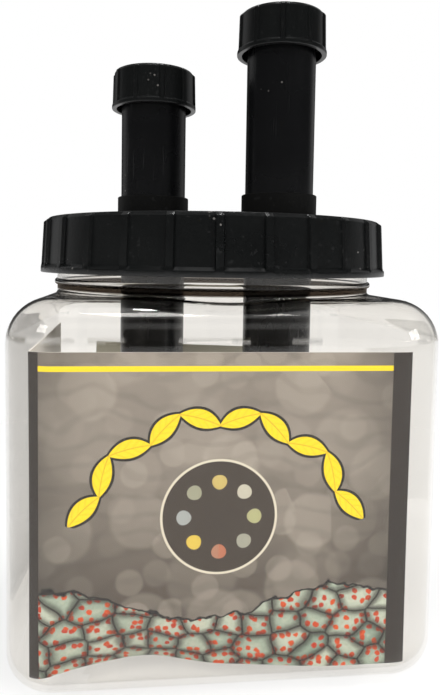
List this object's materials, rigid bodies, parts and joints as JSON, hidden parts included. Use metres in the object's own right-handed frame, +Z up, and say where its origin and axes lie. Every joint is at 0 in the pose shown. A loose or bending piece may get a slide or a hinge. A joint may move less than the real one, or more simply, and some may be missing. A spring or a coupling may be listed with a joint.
{
  "type": "cricket keeper",
  "caption": "Clear square wide-mouth jar for live feeder insects, with a ribbed black screw lid and black capped hide tubes that slide up and down through it.",
  "frame": {"origin": "middle of the jar's footprint, on the surface it stands on", "axes": "+Z up, along the jar's and the lid's axis; -Y is the front, with the printed card; +X is to the right"},
  "size_m": [0.135, 0.135, 0.2212],
  "materials": {
    "clear_wall": "clear blown plastic",
    "print": "coated printed card",
    "leaflet_paper": "folded printed paper",
    "lid_black": "satin moulded black",
    "foam_seal": "soft foam",
    "gauze": "fine woven wire",
    "guide_black": "matt moulded black",
    "rubber_ring": "plain",
    "tube_black": "satin extruded black",
    "cap_black": "satin moulded black",
    "cap_seal": "soft foam"
  },
  "bodies": {
    "jar_body": {"jar": "clear_wall", "printed_card": "print", "leaflet": "leaflet_paper"},
    "gasket_body": {"lid_gasket": "foam_seal"},
    "lid_body": {"lid": "lid_black", "vent_gauze_front": "gauze", "vent_gauze_rear": "gauze", "tube_guide_left": "guide_black", "tube_guide_right": "guide_black"},
    "ring_left_body": {"grip_ring_left": "rubber_ring"},
    "tube_left_body": {"tube_left": "tube_black"},
    "liner_left_body": {"cap_liner_left": "cap_seal"},
    "cap_left_body": {"cap_left": "cap_black"},
    "ring_right_body": {"grip_ring_right": "rubber_ring"},
    "tube_right_body": {"tube_right": "tube_black"},
    "liner_right_body": {"cap_liner_right": "cap_seal"},
    "cap_right_body": {"cap_right": "cap_black"}
  },
  "joints": [
    {"name": "lid_lift", "type": "slide", "parent": "jar_body", "child": "gasket_body", "axis": [0, 0, 1], "range_m": [0, 0.00627]},
    {"name": "lid_turn", "type": "hinge", "parent": "gasket_body", "child": "lid_body", "pos_m": [0, 0, 0.1456], "axis": [0, 0, 1], "range_deg": [0, 450]},
    {"name": "tube_left_turn", "type": "hinge", "parent": "lid_body", "child": "ring_left_body", "pos_m": [-0.02344, 0.01103, 0.1456], "axis": [0, 0, 1], "continuous": true},
    {"name": "tube_left_slide", "type": "slide", "parent": "ring_left_body", "child": "tube_left_body", "axis": [0, 0, 1], "range_m": [-0.0098, 0.143]},
    {"name": "cap_left_lift", "type": "slide", "parent": "tube_left_body", "child": "liner_left_body", "axis": [0, 0, 1], "range_m": [0, 0.00377]},
    {"name": "cap_left_turn", "type": "hinge", "parent": "liner_left_body", "child": "cap_left_body", "pos_m": [-0.02344, 0.01103, 0.2046], "axis": [0, 0, 1], "range_deg": [0, 450]},
    {"name": "tube_right_turn", "type": "hinge", "parent": "lid_body", "child": "ring_right_body", "pos_m": [0.02344, -0.01103, 0.1456], "axis": [0, 0, 1], "continuous": true},
    {"name": "tube_right_slide", "type": "slide", "parent": "ring_right_body", "child": "tube_right_body", "axis": [0, 0, 1], "range_m": [-0.0264, 0.1264]},
    {"name": "cap_right_lift", "type": "slide", "parent": "tube_right_body", "child": "liner_right_body", "axis": [0, 0, 1], "range_m": [0, 0.00377]},
    {"name": "cap_right_turn", "type": "hinge", "parent": "liner_right_body", "child": "cap_right_body", "pos_m": [0.02344, -0.01103, 0.2212], "axis": [0, 0, 1], "range_deg": [0, 450]}
  ],
  "couplings": [
    {"joint": "lid_lift", "follows": "lid_turn", "m_per_rad": 0.00079577},
    {"joint": "cap_left_lift", "follows": "cap_left_turn", "m_per_rad": 0.00047746},
    {"joint": "cap_right_lift", "follows": "cap_right_turn", "m_per_rad": 0.00047746}
  ]
}
